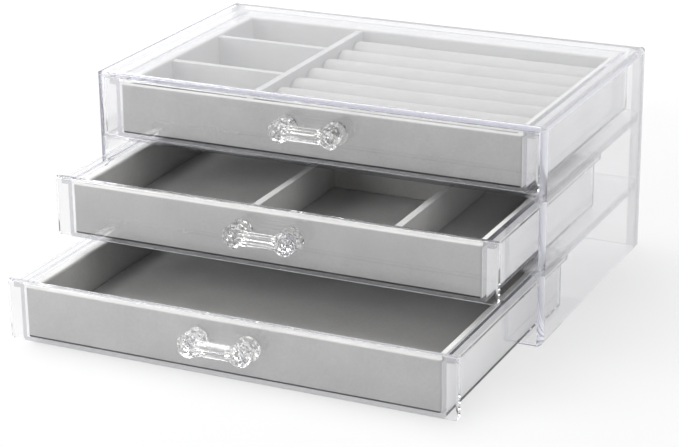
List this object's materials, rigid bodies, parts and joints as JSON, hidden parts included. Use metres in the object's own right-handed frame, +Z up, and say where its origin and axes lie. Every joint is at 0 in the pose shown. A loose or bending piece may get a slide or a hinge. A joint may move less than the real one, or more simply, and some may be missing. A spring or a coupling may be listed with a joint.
{
  "type": "accessory organizer box",
  "caption": "Clear table-top organizer box with pull-out drawers, moulded handles and grey velvet inserts divided for rings and small jewellery.",
  "frame": {"origin": "middle of the case's bottom face, the plane that it stands on; the drawers' pull-out isn't counted", "axes": "+X to the right as seen from the front, +Y to the back, +Z up; the drawers pull out along -Y; at rest the top drawer is shut and the lower two are part open"},
  "size_m": [0.235, 0.2513, 0.107],
  "materials": {
    "clear_plastic": "clear polished",
    "handle_plastic": "clear polished, faceted",
    "velvet": "short grey velvet over board",
    "roll_velvet": "short grey velvet over foam"
  },
  "bodies": {
    "case": {"case_side_left": "clear_plastic", "case_side_right": "clear_plastic", "case_top": "clear_plastic", "case_back": "clear_plastic", "case_bottom": "clear_plastic", "case_corner_left": "clear_plastic", "case_corner_right": "clear_plastic", "shelf_lower": "clear_plastic", "shelf_upper": "clear_plastic"},
    "drawer_top": {"drawer_front_top": "clear_plastic", "tray_top": "clear_plastic", "handle_top": "handle_plastic", "insert_walls_top": "velvet", "insert_pad_top": "velvet", "divider_top_long": "velvet", "divider_top_front": "velvet", "divider_top_back": "velvet", "ring_roll_1": "roll_velvet", "ring_roll_2": "roll_velvet", "ring_roll_3": "roll_velvet", "ring_roll_4": "roll_velvet", "ring_roll_5": "roll_velvet", "ring_roll_6": "roll_velvet", "ring_roll_7": "roll_velvet"},
    "drawer_middle": {"drawer_front_middle": "clear_plastic", "tray_middle": "clear_plastic", "handle_middle": "handle_plastic", "insert_walls_middle": "velvet", "insert_pad_middle": "velvet", "divider_middle_left": "velvet", "divider_middle_right": "velvet", "divider_middle_cross": "velvet"},
    "drawer_bottom": {"drawer_front_bottom": "clear_plastic", "tray_bottom": "clear_plastic", "handle_bottom": "handle_plastic", "insert_walls_bottom": "velvet", "insert_pad_bottom": "velvet"}
  },
  "joints": [
    {"name": "slide_top", "type": "slide", "parent": "case", "child": "drawer_top", "axis": [0, -1, 0], "range_m": [0, 0.115]},
    {"name": "slide_middle", "type": "slide", "parent": "case", "child": "drawer_middle", "axis": [0, -1, 0], "range_m": [-0.048, 0.067]},
    {"name": "slide_bottom", "type": "slide", "parent": "case", "child": "drawer_bottom", "axis": [0, -1, 0], "range_m": [-0.0935, 0.0215]}
  ]
}
